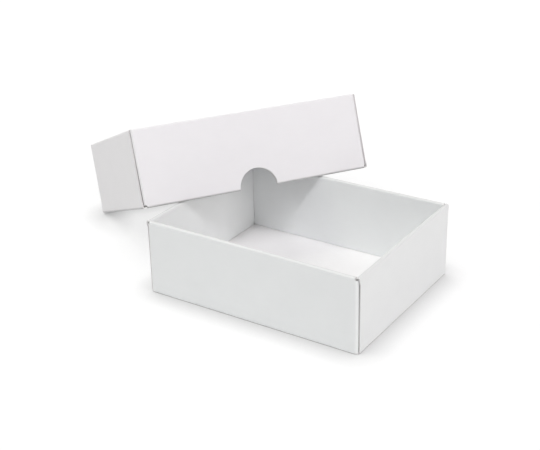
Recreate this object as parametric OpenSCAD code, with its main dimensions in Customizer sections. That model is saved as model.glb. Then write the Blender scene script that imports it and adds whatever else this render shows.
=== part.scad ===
// Two-piece gift box of folding boxboard. The tray stands open, and the lid leans over its back left
// corner. Each is one creased sheet: the walls fold up from the panel, roll over at the rim and come
// down inside as a second layer. Flaps at the ends of the long walls turn the corners and lie between
// the two layers of the short walls.

/* [Tray] */
// Length of the tray over its short walls
tray_len = 100; // [70:1:180]
// Width of the tray over its long walls
tray_wid = 78; // [60:1:150]
// Height of the tray's walls
tray_high = 32.7; // [18:0.1:45]

/* [Lid] */
// Height of the lid's walls, with its top panel
lid_high = 33.6; // [24:0.1:60]
// Clearance all round from the tray's outside to the lid's inside when it is on
lid_fit = 0.7; // [0.3:0.1:1.5]
// Radius of the half round thumb notch in each long wall of the lid
notch_r = 8.7; // [5:0.1:12]

/* [Board] */
// Thickness of the board
board = 0.45; // [0.3:0.05:0.6]
// Outer radius of the crease round the panel
crease_r = 0.7; // [0.6:0.05:0.8]
// Outer radius of the upright bend at a corner
corner_r = 1.6; // [1:0.1:1.7]

/* [Corners] */
// Open slit behind a short wall's outer layer, which shows as the dark line beside each corner
slit = 0.35; // [0.3:0.05:0.8]
// How far a short wall's layers stop short of the long wall's face
short_stop = 1.2; // [0.8:0.1:1.5]
// How far a short wall's rim stops short of the long wall's face
rim_stop = 0.5; // [0.3:0.1:1]
// Height of the cut-out at each corner, from the rim down to the bend and flap
rim_cut = 1.4; // [1.2:0.1:2.4]
// Length of a corner flap from the long wall's face
flap_len = 24; // [12:1:28]
// Height at which a corner flap starts, above the panel's outer face
flap_low = 1.2; // [0.9:0.1:2]
// Chamfer at a flap's free end
flap_cut = 4; // [1:0.5:6]
// Clearance between layers that are folded against each other
play = 0.15; // [0.1:0.01:0.2]

/* [Resting lid] */
// Turn of the lid from the tray's long walls
lid_turn = 55.7; // [42:0.1:58]
// How far behind the lid's middle line the tray's corner stands
lid_reach = -4; // [-5:0.5:4]
// How far the lid's middle is from midway between its two resting points
lid_off = -3.3; // [-4:0.1:4]
// Clearance between the lid and what it rests on
rest_gap = 0.3; // [0.1:0.05:0.5]

/* [Hidden] */
$fn = 64;

// A doubled wall holds two layers, the flap between them, the slit and its play
wall = 3 * board + slit + play;

// Outer radius of a rim's roll
roll_r = wall / 2;

// The lid clears the tray by lid_fit on every side
lid_len = tray_len + 2 * (lid_fit + wall);
lid_wid = tray_wid + 2 * (lid_fit + wall);

// The lid's back rim lies on the surface and its front rim on the tray's rims, so its tilt follows
rim_span = lid_wid - wall;
lid_tilt = asin(tray_high / rim_span);
lid_lift = rest_gap + roll_r * (1 - cos(lid_tilt)) + rim_span / 2 * sin(lid_tilt);

// Distance from the tray's corner to the front rim's line, level with the surface
rim_reach = lid_reach + rim_span / 2 * cos(lid_tilt) - roll_r * sin(lid_tilt);

// How far along the lid from its middle the tray's corner stands
corner_along = rim_reach * (tan(lid_turn) - 1 / tan(lid_turn)) / 2 + lid_off;
lid_along = [cos(lid_turn), sin(lid_turn)];
lid_across = [-sin(lid_turn), cos(lid_turn)];
tray_corner = [-tray_len / 2, tray_wid / 2];
lid_place = tray_corner - corner_along * lid_along - lid_reach * lid_across;

// One quadrant of a bent layer, about its centre; turn 0 lies towards +x and +y
module bend(r, turn) {
    rotate(turn)
        intersection() {
            difference() {
                circle(r);
                circle(r - board);
            }
            square(r);
        }
}

// Wall in section: x runs in from its outer face and y up from the panel's outer face
module outer_layer(top) {
    translate([crease_r, crease_r])
        bend(crease_r, 180);
    translate([0, crease_r])
        square([board, top - crease_r]);
}

module rolled_rim(high) {
    translate([roll_r, high - roll_r]) {
        bend(roll_r, 0);
        bend(roll_r, 90);
    }
}

module inner_layer(high) {
    foot = board + play;
    translate([wall - board, foot])
        square([board, high - roll_r - foot]);
}

// A section swept along a wall whose outer face is away from the box's middle by half
module along_wall(half, length) {
    translate([0, -half, 0])
        rotate([90, 0, 90])
            linear_extrude(length, center = true)
                children();
}

// Long wall, which runs from the bend at one corner to the bend at the other
module long_wall(len, wid, high) {
    along_wall(wid / 2, len - 2 * (board + slit + corner_r)) {
        outer_layer(high - roll_r);
        rolled_rim(high);
        inner_layer(high);
    }
}

// Short wall, whose two layers hold the corner flaps between them and reach almost to the corners
module short_wall(len, wid, high) {
    along_wall(len / 2, wid - 2 * short_stop) {
        outer_layer(high - roll_r);
        inner_layer(high);
    }
    along_wall(len / 2, wid - 2 * rim_stop)
        rolled_rim(high);
}

// Bend and flap at the right end of the long wall at the front
module corner_flap(len, wid, high) {
    face = len / 2 - board - slit;
    top = high - rim_cut;
    translate([face - corner_r, corner_r - wid / 2, flap_low])
        linear_extrude(top - flap_low)
            bend(corner_r, -90);
    translate([face - board, 0, 0])
        rotate([90, 0, 90])
            linear_extrude(board)
                translate([corner_r - wid / 2, 0])
                    flap_outline(flap_len - corner_r, flap_low, top);
}

module flap_outline(length, low, top) {
    polygon([
        [0, low],
        [length - flap_cut, low],
        [length, low + flap_cut],
        [length, top - flap_cut],
        [length - flap_cut, top],
        [0, top]
    ]);
}

module panel(len, wid) {
    translate([-len / 2 + crease_r, -wid / 2 + crease_r, 0])
        cube([len - 2 * crease_r, wid - 2 * crease_r, board]);
}

// The whole sheet made up, with its panel down and its rims at high
module folded_sheet(len, wid, high) {
    panel(len, wid);
    for (turn = [0, 180])
        rotate(turn) {
            long_wall(len, wid, high);
            corner_flap(len, wid, high);
            mirror([1, 0, 0])
                corner_flap(len, wid, high);
        }
    for (turn = [90, 270])
        rotate(turn)
            short_wall(len, wid, high);
}

module tray() {
    color("whitesmoke")
        folded_sheet(tray_len, tray_wid, tray_high);
}

// The lid with its rims down at z = 0, notched through both layers of its long walls
module lid_sheet() {
    difference() {
        translate([0, 0, lid_high])
            rotate([180, 0, 0])
                folded_sheet(lid_len, lid_wid, lid_high);
        rotate([90, 0, 0])
            cylinder(r = notch_r, h = 2 * lid_wid, center = true);
    }
}

module lid() {
    color("white")
        translate([lid_place[0], lid_place[1], lid_lift])
            rotate([0, 0, lid_turn])
                rotate([-lid_tilt, 0, 0])
                    lid_sheet();
}

tray();
lid();
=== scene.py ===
import math

import bmesh
import bpy
from mathutils import Matrix, Vector


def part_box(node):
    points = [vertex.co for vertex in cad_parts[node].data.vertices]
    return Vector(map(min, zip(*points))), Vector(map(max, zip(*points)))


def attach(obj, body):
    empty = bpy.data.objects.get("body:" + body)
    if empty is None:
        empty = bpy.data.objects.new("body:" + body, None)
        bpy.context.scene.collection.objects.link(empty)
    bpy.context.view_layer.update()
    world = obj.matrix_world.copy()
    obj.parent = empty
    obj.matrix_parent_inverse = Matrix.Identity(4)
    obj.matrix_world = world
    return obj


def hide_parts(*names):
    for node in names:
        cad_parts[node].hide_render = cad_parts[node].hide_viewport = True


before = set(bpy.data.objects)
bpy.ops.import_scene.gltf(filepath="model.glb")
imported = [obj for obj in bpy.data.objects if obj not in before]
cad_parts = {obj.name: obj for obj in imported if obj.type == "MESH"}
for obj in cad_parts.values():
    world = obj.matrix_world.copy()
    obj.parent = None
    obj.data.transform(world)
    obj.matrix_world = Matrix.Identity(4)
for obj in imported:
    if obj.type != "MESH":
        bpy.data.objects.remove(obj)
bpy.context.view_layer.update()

# All sizes below are in millimetres, and meshes are scaled to metres as they are placed
MM = 0.001

# Board and folds, the same for both sheets. At a corner, a short wall's layers and its rim stop short
# of the long wall's face, a cut-out goes down from the rim to the bend, and the flap behind it rises
# to just under the short wall's rim
BOARD = 0.45
CREASE = 0.7
CORNER = 1.6
SLIT = 0.35
PLAY = 0.15
WALL = 3 * BOARD + SLIT + PLAY
ROLL = WALL / 2
SHORT_STOP = 1.2
RIM_STOP = 0.7
RIM_CUT = 1.35
FLAP_UNDER_RIM = 0.95
RIM_END_GAP = 0.1
FLAP_LENGTH = 24
FLAP_LOW = 1.2
FLAP_CUT = 4

# Sheet sizes over everything
tray_low, tray_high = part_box("tray")
TRAY_SIZE = [(high - low) / MM for low, high in zip(tray_low, tray_high)]
LID_FIT = 0.7
LID_SIZE = [TRAY_SIZE[0] + 2 * (LID_FIT + WALL), TRAY_SIZE[1] + 2 * (LID_FIT + WALL), 33.6]
NOTCH = 8.7

# How the lid leans on the tray's corner
LID_TURN = math.radians(55.7)
LID_REACH = -4
LID_OFF = -3.3
REST_GAP = 0.3

# Spacing of the mesh over flat board, and steps round each bend
SPACING = 2.0
CREASE_STEPS = 6
ROLL_STEPS = 16
NOTCH_STEPS = 20

# How far each kind of wall bows in at the middle of its rim, and how uneven the board lies
LONG_BOW = 0.3
SHORT_BOW = 0.25
WAVINESS = 0.12

# Distance of the lamps from the middle of the surface, in metres
LAMP_REACH = 2


class Value:
    """A node socket in Python arithmetic. Each operation adds one Math node to its tree."""

    def __init__(self, graph, socket):
        self.graph, self.socket = graph, socket

    def maths(self, operation, *values):
        return self.graph.add("ShaderNodeMath", {"operation": operation}, *values)

    def __add__(self, other):
        return self.maths("ADD", self, other)

    def __radd__(self, other):
        return self.maths("ADD", other, self)

    def __sub__(self, other):
        return self.maths("SUBTRACT", self, other)

    def __rsub__(self, other):
        return self.maths("SUBTRACT", other, self)

    def __mul__(self, other):
        return self.maths("MULTIPLY", self, other)

    def __rmul__(self, other):
        return self.maths("MULTIPLY", other, self)

    def __truediv__(self, other):
        return self.maths("DIVIDE", self, other)

    def __rtruediv__(self, other):
        return self.maths("DIVIDE", other, self)

    def __pow__(self, other):
        return self.maths("POWER", self, other)

    def __abs__(self):
        return self.maths("ABSOLUTE", self)

    def at_least(self, low):
        return self.maths("MAXIMUM", self, low)

    def at_most(self, high):
        return self.maths("MINIMUM", self, high)

    def between(self, low, high):
        return self.at_least(low).at_most(high)

    def sign(self):
        return self.maths("SIGN", self)

    def sine(self):
        return self.maths("SINE", self)

    def cosine(self):
        return self.maths("COSINE", self)

    def parts(self):
        """The three numbers of a vector."""
        node = self.graph.add("ShaderNodeSeparateXYZ", {}, self).socket.node
        return [Value(self.graph, socket) for socket in node.outputs]

    def output(self, name):
        """Another output of the node that this value comes from."""
        return Value(self.graph, self.socket.node.outputs[name])


class Graph:
    """A node tree that is filled node by node."""

    def __init__(self, tree):
        self.tree = tree

    def add(self, kind, settings, *values, **named):
        """A node of this kind. Settings come first, then the values or links of its sockets, in
        their order or by name with _ for a space. Gives its first output that is in use."""
        node = self.tree.nodes.new(kind)
        for key, value in settings.items():
            setattr(node, key, value)
        sockets = [socket for socket in node.inputs if socket.enabled]
        by_name = {socket.name.replace(" ", "_"): socket for socket in sockets}
        pairs = list(zip(sockets, values)) + [(by_name[key], value) for key, value in named.items()]
        for socket, value in pairs:
            if value is None:
                continue
            if isinstance(value, Value):
                self.tree.links.new(value.socket, socket)
            else:
                socket.default_value = value
        outputs = [socket for socket in node.outputs if socket.enabled]
        return Value(self, outputs[0]) if outputs else node

    def mix(self, factor, first, second):
        """One colour or vector turning into another."""
        return self.add("ShaderNodeMix", {"data_type": "RGBA"}, factor, first, second)

    def vector(self, operation, *values):
        return self.add("ShaderNodeVectorMath", {"operation": operation}, *values)


class Blank:
    """The flat layout of one sheet, measured from the middle of its panel."""

    def __init__(self, length, width, height, notch=0):
        self.length, self.width, self.height, self.notch = length, width, height, notch
        self.panel_x = length / 2 - CREASE
        self.panel_y = width / 2 - CREASE
        self.corner_x = length / 2 - BOARD - SLIT - CORNER
        self.short_y = width / 2 - SHORT_STOP
        self.crease = CREASE * math.pi / 2
        self.outer = height - ROLL - CREASE
        self.roll = ROLL * math.pi
        self.inner = height - ROLL - BOARD - PLAY
        self.cut = self.crease + height - RIM_CUT - CREASE
        self.flap_start = self.crease + FLAP_LOW - CREASE
        self.notch_x = math.sqrt(notch ** 2 - ROLL ** 2) if notch else 0

    def across(self):
        """Places over a wall's strip, from the panel's crease to the inner layer's foot."""
        rim = self.crease + self.outer
        foot = rim + self.roll
        return chain(
            spaced(0, self.crease, steps=CREASE_STEPS),
            spaced(self.crease, self.flap_start),
            spaced(self.flap_start, self.cut),
            spaced(self.cut, rim),
            spaced(rim, foot, steps=ROLL_STEPS),
            spaced(foot, foot + self.inner),
        )

    def along(self):
        """Places along half the panel's length, closer at the notch so that its edge is round."""
        low = math.asin(ROLL / self.notch) if self.notch else 0
        notch = [self.notch * math.cos(a) for a in spaced(math.pi / 2, low, steps=NOTCH_STEPS)]
        return chain(
            notch if self.notch else [0],
            spaced(self.notch_x, self.corner_x),
            [self.corner_x, self.panel_x],
        )

    def drawn_back(self, x, s):
        """A place over a long wall's strip, drawn back from the rim as far as the notch is cut."""
        depth = math.sqrt(max(self.notch ** 2 - x * x, 0)) - ROLL
        if depth <= 0:
            return s
        rim = self.crease + self.outer
        end = rim + self.roll + self.inner
        if s <= self.crease:
            return s
        if s <= rim:
            return self.crease + (s - self.crease) * (1 - depth / self.outer)
        return end - (end - s) * (1 - depth / self.inner)

    def long_end(self, x, s):
        """A place along a long wall, whose rim and inner layer run on to the short walls. Past three
        quarters of the roll it keeps the inner layer's clearance."""
        rim = self.crease + self.outer
        if s < rim - 1e-6 or abs(x) < self.corner_x - 1e-6:
            return x
        gap = PLAY if s > rim + self.roll * 0.75 else RIM_END_GAP
        return math.copysign(self.length / 2 - WALL - gap, x)

    def short_end(self, y, s):
        """A place along a short wall, whose rim runs on over the corner."""
        rim = self.crease + self.outer
        on_rim = rim - 0.5 < s < rim + self.roll * 0.9
        if not on_rim or abs(y) < self.short_y - 1e-6:
            return y
        return math.copysign(self.width / 2 - RIM_STOP, y)

    def tapered(self, e, s):
        """A place on a corner flap, whose top edge rises past the cut-out to lie under the short wall's
        rim, and which is drawn in towards the chamfers at its free end."""
        bend = CORNER * math.pi / 2
        if s > self.cut - 1e-6:
            s += (RIM_CUT - FLAP_UNDER_RIM) * min(max(e / bend * 4 - 3, 0), 1)
        end = bend + FLAP_LENGTH - CORNER
        share = max(0, e - end + FLAP_CUT) / FLAP_CUT
        if share == 0:
            return s
        half = (self.cut - self.flap_start) / 2
        middle = self.flap_start + half
        return middle + (s - middle) * (1 - share * FLAP_CUT / half)


def spaced(start, end, steps=None):
    """Evenly spaced places from start to end."""
    steps = steps or max(1, math.ceil(abs(end - start) / SPACING))
    return [start + (end - start) * i / steps for i in range(steps + 1)]


def chain(*runs):
    """Runs of places joined end to end, with each shared end kept once."""
    places = []
    for run in runs:
        places += [place for place in run if not places or abs(place - places[-1]) > 1e-6]
    return places


def both_ways(places):
    return [-place for place in reversed(places) if place > 1e-6] + places


def cut_blank(blank, name):
    """The flat sheet as a mesh, its printed face down. The attribute zone says how each point folds:
    0 for the panel, 1 for a long wall with its flaps, 2 for a short wall."""
    board = bmesh.new()
    zone_of = board.verts.layers.int.new("zone")

    def patch(xs, ys, zone, place=lambda x, y: (x, y), keep=lambda x, y: True):
        rows = []
        for y in ys:
            row = []
            for x in xs:
                vertex = board.verts.new((*place(x, y), 0))
                vertex[zone_of] = zone
                row.append(vertex)
            rows.append(row)
        for j in range(len(ys) - 1):
            for i in range(len(xs) - 1):
                if keep((xs[i] + xs[i + 1]) / 2, (ys[j] + ys[j + 1]) / 2):
                    board.faces.new((rows[j][i], rows[j + 1][i], rows[j + 1][i + 1], rows[j][i + 1]))

    along = blank.along()
    across = blank.across()
    ys = spaced(0, blank.short_y)
    rim = blank.crease + blank.outer
    patch(both_ways(along), both_ways(ys + [blank.panel_y]), 0)
    for side in (-1, 1):
        def on_wall(x, s):
            return blank.long_end(x, s), side * (blank.panel_y + blank.drawn_back(x, s))

        def has_board(x, s):
            return not (rim < s < rim + blank.roll and abs(x) < blank.notch_x)

        wall_xs = both_ways([x for x in along if x < blank.corner_x + 1e-6])
        patch(wall_xs, across, 1, on_wall, has_board)

        bend = CORNER * math.pi / 2
        flap = FLAP_LENGTH - CORNER
        flap_xs = chain(spaced(0, bend, steps=CREASE_STEPS), spaced(bend, bend + flap - FLAP_CUT),
                        spaced(bend + flap - FLAP_CUT, bend + flap))
        flap_ys = [s for s in across if s < rim + 1e-6]

        def flap_board(e, s):
            return e < bend / 3 or s < blank.cut and (e < bend or s > blank.flap_start)

        for end in (-1, 1):
            def on_flap(e, s):
                return end * (blank.corner_x + e), side * (blank.panel_y + blank.tapered(e, s))

            patch(flap_xs, flap_ys, 1, on_flap, flap_board)
    for end in (-1, 1):
        patch(across, both_ways(ys), 2, lambda s, y: (end * (blank.panel_x + s), blank.short_end(y, s)))

    bmesh.ops.remove_doubles(board, verts=board.verts, dist=1e-4)
    bmesh.ops.delete(board, geom=[v for v in board.verts if not v.link_faces], context="VERTS")
    board.normal_update()
    bmesh.ops.reverse_faces(board, faces=[face for face in board.faces if face.normal.z > 0])
    bmesh.ops.scale(board, vec=(MM, MM, MM), verts=board.verts)
    mesh = bpy.data.meshes.new(name)
    board.to_mesh(mesh)
    board.free()
    return mesh


def folding_tree(material):
    """Geometry Nodes that fold a flat blank: up at the panel's creases, over at the rims and down
    inside, and round at the corners. It stores five attributes for the materials: on_sheet is a point's
    place on the flat sheet, strain is 1 on every bend, rim is 1 at the top of a curled rim, tucked is 1
    where a corner flap goes behind the short wall, and pressed is 1 at the ends of a short wall. The
    materials paint shade with the last three: grey on the rims, near black on the flaps behind the short
    walls, and grey on the cut edges at the ends of the short walls, in the slits."""
    tree = bpy.data.node_groups.new("fold_up_sheet", "GeometryNodeTree")
    tree.interface.new_socket("Geometry", in_out="INPUT", socket_type="NodeSocketGeometry")
    for name in ("Length", "Width", "Height", "Crease radius", "Corner radius", "Roll radius",
                 "Board", "Slit", "Bow of long walls", "Bow of short walls", "Waviness"):
        tree.interface.new_socket(name, in_out="INPUT", socket_type="NodeSocketFloat")
    tree.interface.new_socket("Seed", in_out="INPUT", socket_type="NodeSocketInt")
    tree.interface.new_socket("Geometry", in_out="OUTPUT", socket_type="NodeSocketGeometry")
    graph = Graph(tree)
    given = graph.add("NodeGroupInput", {})
    length, width, height = (given.output(name) for name in ("Length", "Width", "Height"))
    crease, corner, roll = (given.output(name + " radius") for name in ("Crease", "Corner", "Roll"))

    flat = graph.add("GeometryNodeInputPosition", {})
    x, y, _ = flat.parts()
    zone = graph.add("GeometryNodeInputNamedAttribute", {"data_type": "INT"}, "zone")
    is_long = 1 - abs(zone - 1).at_most(1)
    is_short = (zone - 1).at_least(0)
    panel_x = length / 2 - crease
    panel_y = width / 2 - crease
    straight = height - roll - crease

    def folded(distance):
        """How far a wall's strip goes out from the panel's crease and how high, at this distance."""
        bend = (distance / crease).at_most(math.pi / 2)
        past = distance - crease * (math.pi / 2)
        up = past.between(0, straight)
        turn = ((past - straight) / roll).between(0, math.pi)
        down = (past - straight - roll * math.pi).at_least(0)
        out = crease * bend.sine() - roll * (1 - turn.cosine())
        return out, crease * (1 - bend.cosine()) + up + roll * turn.sine() - down, bend, turn

    long_out, long_up, long_bend, long_turn = folded((abs(y) - panel_y).at_least(0) * (1 - is_short))
    short_out, short_up, short_bend, short_turn = folded((abs(x) - panel_x).at_least(0) * is_short)
    level = ((long_up + short_up) / height).between(0, 1)

    # Only a long wall's outer layer turns a corner. The bend stands nearer to the short wall at its
    # foot, so the slit between them narrows downwards, and it rounds off where the panel's crease is
    corner_x = length / 2 - given.output("Board") - given.output("Slit") * (0.2 + 0.8 * level) - corner
    past_corner = (abs(x) - corner_x).at_least(0) * is_long * (1 - long_turn * 10).at_least(0)
    round_corner = (past_corner / corner).at_most(math.pi / 2)
    radius = corner - crease + long_out.between(0, crease)
    flap_in = radius * (1 - round_corner.cosine()) + (past_corner - corner * (math.pi / 2)).at_least(0)
    flap_out = radius * round_corner.sine() - past_corner

    # Walls bow in a little between their corners, most at the rim, and the board isn't quite flat
    long_bow = given.output("Bow of long walls") * (1 - (2 * x / length) ** 2).at_least(0)
    short_bow = given.output("Bow of short walls") * (1 - (2 * y / width) ** 2).at_least(0)
    ripple = graph.add("ShaderNodeTexNoise", {"noise_dimensions": "4D"},
                       Vector=flat, W=given.output("Seed") * 7.3, Scale=38.0, Detail=1.0)
    wave = given.output("Waviness") * ripple * (level * 4).at_most(1)
    long_in = (long_bow * level + wave) * (1 - past_corner / (2 * MM)).at_least(0)
    short_in = short_bow * level + wave

    on_short = x.sign() * (panel_x + short_out - short_in)
    folded_x = is_short * on_short + (1 - is_short) * (x + x.sign() * flap_out)
    on_long = y.sign() * (panel_y + long_out - flap_in - long_in)
    folded_y = y * (1 - is_long) + is_long * on_long
    place = graph.add("ShaderNodeCombineXYZ", {}, folded_x, folded_y, long_up + short_up)

    strain = (long_bend.sine() * long_bend.cosine() * 2 + short_bend.sine() * short_bend.cosine() * 2
              + long_turn.sine() + short_turn.sine()
              + round_corner.sine() * round_corner.cosine() * 2).between(0, 1)

    rim = (long_turn.sine() + short_turn.sine()).between(0, 1)
    # Mask for painted shade on the corner flaps behind the short walls
    tucked = ((past_corner - corner * 1.32) / (corner * 0.08)).between(0, 1)
    # Mask for painted shade on the cut edges at the ends of a short wall, in the slits
    at_end = ((abs(y) - width / 2 + (SHORT_STOP + 0.1) * MM) / (0.1 * MM)).between(0, 1)
    pressed = is_short * at_end * (1 - short_turn).at_least(0)

    shape = graph.add("GeometryNodeStoreNamedAttribute", {"data_type": "FLOAT_VECTOR"},
                      given, None, "on_sheet", flat)
    for name, value in (("strain", strain), ("rim", rim), ("tucked", tucked), ("pressed", pressed)):
        shape = graph.add("GeometryNodeStoreNamedAttribute", {"data_type": "FLOAT"},
                          shape, None, name, value)
    shape = graph.add("GeometryNodeSetPosition", {}, shape, None, place)
    shape = graph.add("GeometryNodeRealizeInstances", {}, shape)
    shape = graph.add("GeometryNodeSetMaterial", {}, shape, None, material)
    graph.add("NodeGroupOutput", {}, shape)
    return tree


def finished_mesh(piece):
    """The piece's mesh with its modifiers worked in, and the modifiers gone."""
    evaluated = piece.evaluated_get(bpy.context.evaluated_depsgraph_get())
    old = piece.data
    piece.data = bpy.data.meshes.new_from_object(evaluated)
    piece.modifiers.clear()
    bpy.data.meshes.remove(old)
    piece.data.name = piece.name
    return piece.data


def fold_sheet(name, size, notch, materials, seed, place):
    """One sheet from its flat blank to its made up shape: folded, given its thickness on the inside
    and put in its place. The materials are the face's, the reverse's and the raw edges'."""
    piece = bpy.data.objects.new(name, cut_blank(Blank(*size, notch), name))
    bpy.context.scene.collection.objects.link(piece)
    fold = piece.modifiers.new("fold", "NODES")
    fold.node_group = folding_tree(materials[0])
    sizes = {"Length": size[0], "Width": size[1], "Height": size[2], "Crease radius": CREASE,
             "Corner radius": CORNER, "Roll radius": ROLL, "Board": BOARD, "Slit": SLIT,
             "Bow of long walls": LONG_BOW, "Bow of short walls": SHORT_BOW, "Waviness": WAVINESS}
    for item in fold.node_group.interface.items_tree:
        if item.name in sizes:
            fold[item.identifier] = sizes[item.name] * MM
        elif item.name == "Seed":
            fold[item.identifier] = seed
    mesh = finished_mesh(piece)
    mesh.materials.clear()
    for material in materials:
        mesh.materials.append(material)

    board = piece.modifiers.new("board", "SOLIDIFY")
    board.thickness = BOARD * MM
    board.offset = -1
    board.use_even_offset = True
    board.material_offset = 1
    board.material_offset_rim = 2
    mesh = finished_mesh(piece)
    mesh.transform(place)
    mesh.shade_smooth()
    mesh.set_sharp_from_angle(angle=math.radians(35))
    return piece


def lid_placement():
    """Where the lid leans: its back rim on the surface, its front rim over the tray's corner."""
    length, width, height = TRAY_SIZE
    span = LID_SIZE[1] - WALL
    tilt = math.asin(height / span)
    lift = REST_GAP + ROLL * (1 - math.cos(tilt)) + span / 2 * math.sin(tilt)
    reach = LID_REACH + span / 2 * math.cos(tilt) - ROLL * math.sin(tilt)
    along = reach * (math.tan(LID_TURN) - 1 / math.tan(LID_TURN)) / 2 + LID_OFF
    forward = Vector((math.cos(LID_TURN), math.sin(LID_TURN), 0))
    sideways = Vector((-math.sin(LID_TURN), math.cos(LID_TURN), 0))
    middle = Vector((-length / 2, width / 2, 0)) - along * forward - LID_REACH * sideways
    middle.z = lift
    turned_over = Matrix.Translation((0, 0, LID_SIZE[2] * MM)) @ Matrix.Rotation(math.pi, 4, "X")
    return (Matrix.Translation(middle * MM) @ Matrix.Rotation(LID_TURN, 4, "Z")
            @ Matrix.Rotation(-tilt, 4, "X") @ turned_over)


def new_material(name):
    material = bpy.data.materials.new(name)
    material.use_nodes = True
    material.node_tree.nodes.clear()
    return material, Graph(material.node_tree)


def board_material(name, light, dark, rim_shade, grain, roughness, cockle, worn):
    """White boxboard. Fibres run along the sheet and follow its folds. Light and dark are the ends of
    its mottling, and rolled is the grey that it nears on a rim, which is painted shade: at 0.71 it tones
    down the light on the rims, and the lid's 0.3 stands in for the shade under its rims. Grain is how
    much the fibres show, cockle how uneven the face is, and worn how much it dulls on a fold. Where a
    corner flap goes behind a short wall it is painted near black, as painted shade in the slit."""
    material, graph = new_material(name)
    sheet = graph.add("ShaderNodeAttribute", {"attribute_name": "on_sheet"}).output("Vector")
    strain = graph.add("ShaderNodeAttribute", {"attribute_name": "strain"}).output("Fac")
    rim = graph.add("ShaderNodeAttribute", {"attribute_name": "rim"}).output("Fac")
    tucked = graph.add("ShaderNodeAttribute", {"attribute_name": "tucked"}).output("Fac")
    cloud = graph.add("ShaderNodeTexNoise", {}, Vector=sheet, Scale=75.0, Detail=3.0, Roughness=0.55)
    drawn = graph.vector("MULTIPLY", sheet, (260.0, 1100.0, 1.0))
    fibre = graph.add("ShaderNodeTexNoise", {}, Vector=drawn, Scale=1.0, Detail=4.0, Roughness=0.65)
    speck = graph.add("ShaderNodeTexNoise", {}, Vector=sheet, Scale=2600.0, Detail=2.0, Roughness=0.6)
    shade = 0.5 + (cloud - 0.5) * 1.1 + (fibre - 0.5) * grain + (speck - 0.5) * grain * 0.6
    crack = (strain * (speck * 2.2 - 0.55).between(0, 1) * worn).between(0, 1)
    colour = graph.mix(shade.between(0, 1), (*dark, 1), (*light, 1))
    colour = graph.mix(crack * 0.5, colour, (0.93, 0.93, 0.92, 1))
    # Painted shade on the rims: their colour nears the grey rolled
    colour = graph.mix(rim * 0.75, colour, (rim_shade, rim_shade, rim_shade, 1))
    # Painted shade: where a corner flap goes behind the short wall it turns near black, so that the slit
    # looks dark
    colour = graph.mix(tucked, colour, (0.12, 0.112, 0.115, 1))
    height = cloud * cockle + fibre * 0.5 + speck * 0.25 + crack * 0.4
    normal = graph.add("ShaderNodeBump", {}, Strength=0.22, Distance=0.00012, Height=height)
    surface = graph.add(
        "ShaderNodeBsdfPrincipled", {}, Base_Color=colour, Normal=normal,
        Roughness=(roughness + (cloud - 0.5) * 0.12 + (fibre - 0.5) * 0.1 + crack * 0.15).between(0, 1))
    graph.add("ShaderNodeOutputMaterial", {}, surface)
    return material


def raw_edge_material(name):
    """Where the board is cut: packed layers of fibre between the two faces, with painted shade on the cut
    edges in the slits at the ends of a short wall.
    """
    material, graph = new_material(name)
    place = graph.add("ShaderNodeTexCoord", {}).output("Object")
    layer = graph.add("ShaderNodeTexNoise", {}, Vector=place, Scale=5200.0, Detail=3.0, Roughness=0.7)
    patch = graph.add("ShaderNodeTexNoise", {}, Vector=place, Scale=420.0, Detail=2.0)
    pressed = graph.add("ShaderNodeAttribute", {"attribute_name": "pressed"}).output("Fac")
    layers = (layer * 0.7 + patch * 0.3).between(0, 1)
    colour = graph.mix(layers, (0.74, 0.735, 0.72, 1), (0.88, 0.878, 0.87, 1))
    # Painted shade: the cut edges at the ends of a short wall, in the slits, turn grey
    colour = graph.mix(pressed, colour, (0.66, 0.64, 0.645, 1))
    normal = graph.add("ShaderNodeBump", {}, Strength=0.4, Distance=0.0001, Height=layer)
    surface = graph.add("ShaderNodeBsdfPrincipled", {}, Base_Color=colour, Normal=normal,
                        Roughness=(0.82 + (patch - 0.5) * 0.2).between(0, 1))
    graph.add("ShaderNodeOutputMaterial", {}, surface)
    return material


def seen_directly(graph):
    """1 for what the camera sees, also by reflection or through glass, and 0 for light on the box."""
    path = graph.add("ShaderNodeLightPath", {})
    rays = [path.output("Is %s Ray" % kind) for kind in ("Camera", "Glossy", "Transmission")]
    return (rays[0] + rays[1] + rays[2]).at_most(1)


def surface_material(name, colour, white, reach, depth):
    """The surface that the box stands on. It is lit as plain board is, and what the camera or a mirror
    sees of it is mostly a white glow, with painted shade where the glow darkens by depth within reach of
    where the box meets it."""
    material, graph = new_material(name)
    place = graph.add("ShaderNodeTexCoord", {}).output("Object")
    far = graph.vector("LENGTH", place).output("Value")
    near = graph.add("ShaderNodeAmbientOcclusion", {"samples": 16}, Distance=reach).output("AO")
    level = white * (1 - (1 - near) * depth)
    shade = graph.add("ShaderNodeCombineColor", {}, level, level, level)
    lit = graph.add("ShaderNodeBsdfDiffuse", {}, (colour, colour, colour, 1))
    glow = graph.add("ShaderNodeEmission", {}, shade)

    # Near the box a quarter of what is seen is the lit surface, which holds the box's soft shadow
    share = (0.75 + (far - 0.15) * 1.2).between(0.75, 1)
    surface = graph.add("ShaderNodeMixShader", {}, seen_directly(graph) * share, lit, glow)
    graph.add("ShaderNodeOutputMaterial", {}, surface)
    return material


def make_camera():
    """Placed and turned by its heading from +Y, its dip and its roll."""
    data = bpy.data.cameras.new("camera")
    data.sensor_width = 36
    data.lens = 75.138
    data.clip_start, data.clip_end = 0.02, 50
    camera = bpy.data.objects.new("camera", data)
    bpy.context.scene.collection.objects.link(camera)
    heading, dip, roll = math.radians(33.617), math.radians(25.333), math.radians(-1.42)
    camera.matrix_world = (
        Matrix.Translation((0.22449, -0.35957, 0.22772)) @ Matrix.Rotation(heading, 4, "Z")
        @ Matrix.Rotation(math.pi / 2 - dip, 4, "X") @ Matrix.Rotation(roll, 4, "Z"))
    bpy.context.scene.camera = camera


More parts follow.
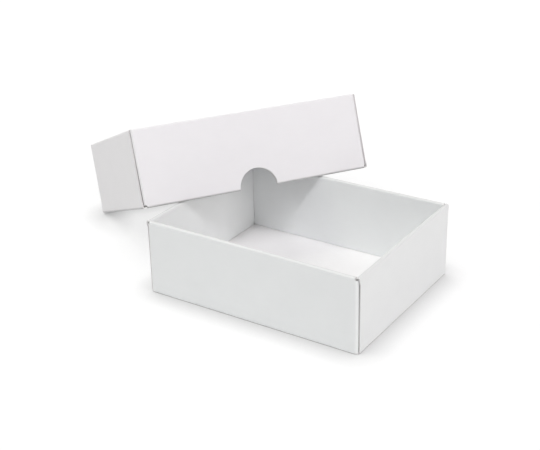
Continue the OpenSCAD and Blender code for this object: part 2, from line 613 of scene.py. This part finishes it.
def make_lamp(name, bearing, height, size, power, colour):
    """A square soft box. The bearing is in degrees from the front towards the right, and the height in
    degrees above the surface. The size and power are what it would have at 1 m."""
    data = bpy.data.lights.new(name, "AREA")
    data.size = size * LAMP_REACH
    data.energy = power * LAMP_REACH ** 2
    data.color = colour
    lamp = bpy.data.objects.new(name, data)
    bpy.context.scene.collection.objects.link(lamp)
    bearing, height = math.radians(bearing), math.radians(height)
    out = Vector((math.sin(bearing) * math.cos(height), -math.cos(bearing) * math.cos(height),
                  math.sin(height)))
    lamp.location = out * LAMP_REACH
    lamp.rotation_mode = "QUATERNION"
    lamp.rotation_quaternion = out.to_track_quat("Z", "Y")


def make_room(strength):
    """Even light from all round, which the camera sees as white."""
    world = bpy.data.worlds.new("room")
    bpy.context.scene.world = world
    world.use_nodes = True
    world.node_tree.nodes.clear()
    graph = Graph(world.node_tree)
    level = strength + seen_directly(graph) * (1 - strength)
    background = graph.add("ShaderNodeBackground", {}, (1, 1, 1, 1), level)
    graph.add("ShaderNodeOutputWorld", {}, background)


def make_surface(half, below):
    """A square of this half width, a hair below the box so that the two don't meet."""
    mesh = bpy.data.meshes.new("surface")
    corners = [(-half, -half, -below), (half, -half, -below), (half, half, -below), (-half, half, -below)]
    mesh.from_pydata(corners, [], [(0, 1, 2, 3)])
    surface = bpy.data.objects.new("surface", mesh)
    bpy.context.scene.collection.objects.link(surface)
    mesh.materials.append(surface_material("white_surface", colour=0.87, white=1.08, reach=0.0125,
                                           depth=0.85))


make_camera()
make_surface(half=4, below=0.0001)
make_room(0.195)

# Each lamp's name, bearing, height, size, power and colour. The key box casts the lid's shadow into
# the tray, and the others light each side
LAMPS = [
    ("top_box", 33, 70, 0.35, 1.0, (0.96, 0.95, 1.0)),
    ("back_left_box", -120, 52, 0.25, 1.5, (1.0, 0.985, 0.95)),
    ("left_box", -60, 52, 0.25, 1.5, (0.98, 1.0, 0.88)),
    ("key_box", 34, 59, 0.15, 2.2, (0.99, 0.98, 1.0)),
    ("front_box", 0, 52, 0.35, 1.4, (0.975, 0.99, 1.0)),
    ("right_box", 90, 52, 0.35, 1.15, (1.0, 0.963, 0.975)),
    ("right_fill", 90, 20, 0.5, 2.2, (1.0, 0.957, 0.93)),
    ("left_fill", -90, 20, 0.5, 0.9, (1.0, 0.99, 0.95)),
]
for lamp in LAMPS:
    make_lamp(*lamp)
bpy.context.scene.view_settings.view_transform = "Standard"

tray_face = board_material("tray_face", light=(0.885, 0.9, 0.903), dark=(0.845, 0.86, 0.864),
                           rim_shade=0.71, grain=0.5, roughness=0.5, cockle=1.0, worn=0.6)
lid_face = board_material("lid_face", light=(0.858, 0.846, 0.865), dark=(0.818, 0.805, 0.825),
                          rim_shade=0.3, grain=0.5, roughness=0.5, cockle=1.0, worn=0.6)
reverse = board_material("uncoated_reverse", light=(0.945, 0.936, 0.938), dark=(0.893, 0.884, 0.886),
                         rim_shade=0.71, grain=1.3, roughness=0.82, cockle=1.6, worn=0.2)
raw_edge = raw_edge_material("raw_edge")

tray = fold_sheet("tray_sheet", TRAY_SIZE, notch=0, materials=[tray_face, reverse, raw_edge], seed=3,
                  place=Matrix.Identity(4))
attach(tray, "tray")
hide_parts("tray")

lid = fold_sheet("lid_sheet", LID_SIZE, notch=NOTCH, materials=[lid_face, reverse, raw_edge], seed=11,
                 place=lid_placement())
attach(lid, "lid")
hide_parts("lid")
